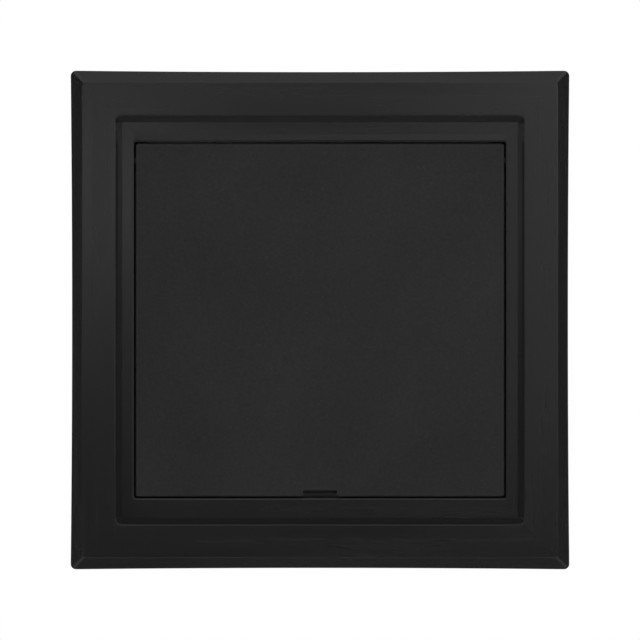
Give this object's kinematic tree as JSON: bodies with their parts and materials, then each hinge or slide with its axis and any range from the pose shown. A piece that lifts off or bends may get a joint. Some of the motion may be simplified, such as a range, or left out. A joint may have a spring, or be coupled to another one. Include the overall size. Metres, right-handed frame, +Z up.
{
  "type": "ceiling access panel",
  "caption": "Square black plastic ceiling access panel: raised picture frame with a stepped recess, flush hinged door with finger notch, magnetic catches and swing-out clamps",
  "frame": {"origin": "middle of the panel on the plane of the frame's back rim, which is the ceiling's or wall's face", "axes": "upright as pictured: +X to the viewer's right, +Y back through the cut-out, +Z up to the hinged edge"},
  "size_m": [0.24, 0.0455, 0.24],
  "materials": {
    "frame_abs": "satin moulded",
    "door_abs": "fine matte grain",
    "seal_foam": "closed-cell foam",
    "zinc_steel": "zinc plated",
    "black_nylon": "matte moulded",
    "ferrite": "sintered ferrite"
  },
  "bodies": {
    "frame": {"frame": "frame_abs", "door_seal": "seal_foam", "hinge_pin_left": "black_nylon", "catch_case_left": "black_nylon", "catch_magnet_left": "ferrite", "pole_plates_left": "zinc_steel", "catch_screws_left": "zinc_steel", "hinge_pin_right": "black_nylon", "catch_case_right": "black_nylon", "catch_magnet_right": "ferrite", "pole_plates_right": "zinc_steel", "catch_screws_right": "zinc_steel"},
    "door": {"door": "door_abs", "strike_plate_left": "zinc_steel", "strike_screw_left": "zinc_steel", "strike_plate_right": "zinc_steel", "strike_screw_right": "zinc_steel"},
    "clamp_screw_upper_left": {"clamp_screw_upper_left": "zinc_steel", "clamp_clip_upper_left": "zinc_steel"},
    "clamp_dog_upper_left": {"clamp_dog_upper_left": "black_nylon", "clamp_nut_upper_left": "zinc_steel"},
    "clamp_screw_upper_right": {"clamp_screw_upper_right": "zinc_steel", "clamp_clip_upper_right": "zinc_steel"},
    "clamp_dog_upper_right": {"clamp_dog_upper_right": "black_nylon", "clamp_nut_upper_right": "zinc_steel"},
    "clamp_screw_lower_left": {"clamp_screw_lower_left": "zinc_steel", "clamp_clip_lower_left": "zinc_steel"},
    "clamp_dog_lower_left": {"clamp_dog_lower_left": "black_nylon", "clamp_nut_lower_left": "zinc_steel"},
    "clamp_screw_lower_right": {"clamp_screw_lower_right": "zinc_steel", "clamp_clip_lower_right": "zinc_steel"},
    "clamp_dog_lower_right": {"clamp_dog_lower_right": "black_nylon", "clamp_nut_lower_right": "zinc_steel"}
  },
  "joints": [
    {"name": "door_hinge", "type": "hinge", "parent": "frame", "child": "door", "pos_m": [0, 0.0024, 0.077], "axis": [-1, 0, 0], "range_deg": [0, 110]},
    {"name": "clamp_swing_upper_left", "type": "hinge", "parent": "frame", "child": "clamp_screw_upper_left", "pos_m": [-0.082, 0, 0.05525], "axis": [0, 1, 0], "range_deg": [0, 90]},
    {"name": "clamp_travel_upper_left", "type": "slide", "parent": "clamp_screw_upper_left", "child": "clamp_dog_upper_left", "axis": [0, -1, 0], "range_m": [0, 0.0145]},
    {"name": "clamp_swing_upper_right", "type": "hinge", "parent": "frame", "child": "clamp_screw_upper_right", "pos_m": [0.082, 0, 0.05525], "axis": [0, -1, 0], "range_deg": [0, 90]},
    {"name": "clamp_travel_upper_right", "type": "slide", "parent": "clamp_screw_upper_right", "child": "clamp_dog_upper_right", "axis": [0, -1, 0], "range_m": [0, 0.0145]},
    {"name": "clamp_swing_lower_left", "type": "hinge", "parent": "frame", "child": "clamp_screw_lower_left", "pos_m": [-0.082, 0, -0.03525], "axis": [0, 1, 0], "range_deg": [0, 90]},
    {"name": "clamp_travel_lower_left", "type": "slide", "parent": "clamp_screw_lower_left", "child": "clamp_dog_lower_left", "axis": [0, -1, 0], "range_m": [0, 0.0145]},
    {"name": "clamp_swing_lower_right", "type": "hinge", "parent": "frame", "child": "clamp_screw_lower_right", "pos_m": [0.082, 0, -0.03525], "axis": [0, -1, 0], "range_deg": [0, 90]},
    {"name": "clamp_travel_lower_right", "type": "slide", "parent": "clamp_screw_lower_right", "child": "clamp_dog_lower_right", "axis": [0, -1, 0], "range_m": [0, 0.0145]}
  ]
}
